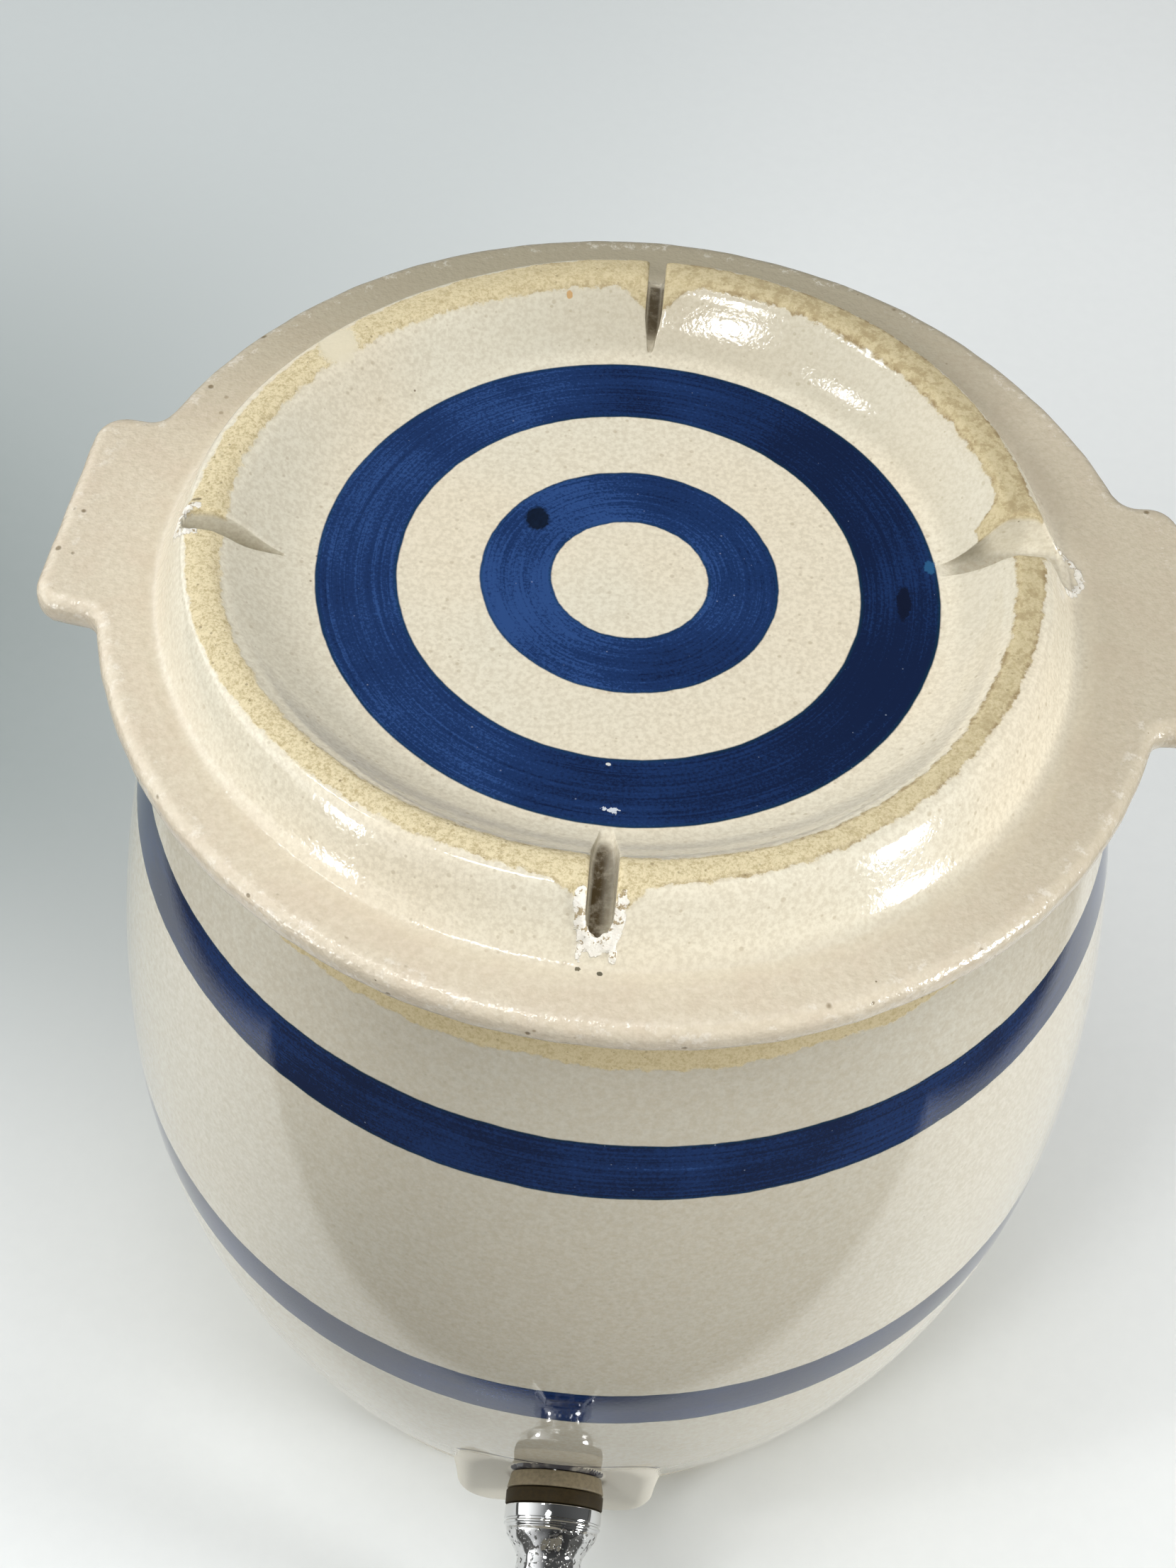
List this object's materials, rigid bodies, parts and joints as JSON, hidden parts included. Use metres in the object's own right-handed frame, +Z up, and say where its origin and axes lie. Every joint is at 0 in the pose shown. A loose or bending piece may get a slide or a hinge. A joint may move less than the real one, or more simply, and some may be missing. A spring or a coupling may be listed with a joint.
{
  "type": "stoneware water cooler",
  "caption": "Barrel-shaped glazed stoneware crock with a loose eared lid and a self-closing lever tap near its base, for storing and pouring drinking water.",
  "frame": {"origin": "centre of the crock's flat underside, on the surface it stands on", "axes": "+Z up along the crock's axis, -Y towards the tap, +X to the right seen from the tap's side"},
  "size_m": [0.2806, 0.3542, 0.302],
  "materials": {
    "stoneware": "glossy cream-grey glaze with fine specks, cobalt bands, bare tan clay at the rim and on the lid's ring",
    "chrome": "bright plated casting, polished collar, slightly pitted neck",
    "steel": "plain stainless steel",
    "brass": "plain machined brass",
    "olive_rubber": "matte olive-brown rubber",
    "brown_fibre": "matte dark-brown washer fibre",
    "black_rubber": "matte black rubber",
    "white_silicone": "soft white silicone",
    "black_plastic": "satin black moulded plastic"
  },
  "bodies": {
    "cooler": {"crock": "stoneware", "tap_body": "chrome", "outer_seal": "olive_rubber", "outer_washer": "brown_fibre", "inner_seal": "black_rubber", "inner_washer": "steel", "lock_nut": "brass", "bonnet": "chrome", "bonnet_gasket": "brown_fibre", "stem_o_ring": "black_rubber", "upper_spring_washer": "steel", "stem_spring": "steel", "lever_pin": "steel", "pin_clip": "steel"},
    "lid": {"lid": "stoneware"},
    "stem": {"valve_stem": "steel", "seat_cup": "white_silicone", "lower_spring_washer": "steel"},
    "lever": {"lever": "black_plastic"}
  },
  "joints": [
    {"name": "lid_lift", "type": "slide", "parent": "cooler", "child": "lid", "axis": [0, 0, 1], "range_m": [0, 0.15]},
    {"name": "lever_press", "type": "hinge", "parent": "cooler", "child": "lever", "pos_m": [0, -0.17872, 0.06422], "axis": [1, 0, 0], "range_deg": [0, 22], "stiffness_Nm_per_rad": 0.062, "springref_deg": -27.5},
    {"name": "stem_lift", "type": "slide", "parent": "cooler", "child": "stem", "axis": [0, -0.2756, 0.9613], "range_m": [0, 0.0034], "deforming": ["stem_spring"]}
  ],
  "couplings": [
    {"joint": "stem_lift", "follows": "lever_press", "m_per_rad": 0.008293}
  ]
}
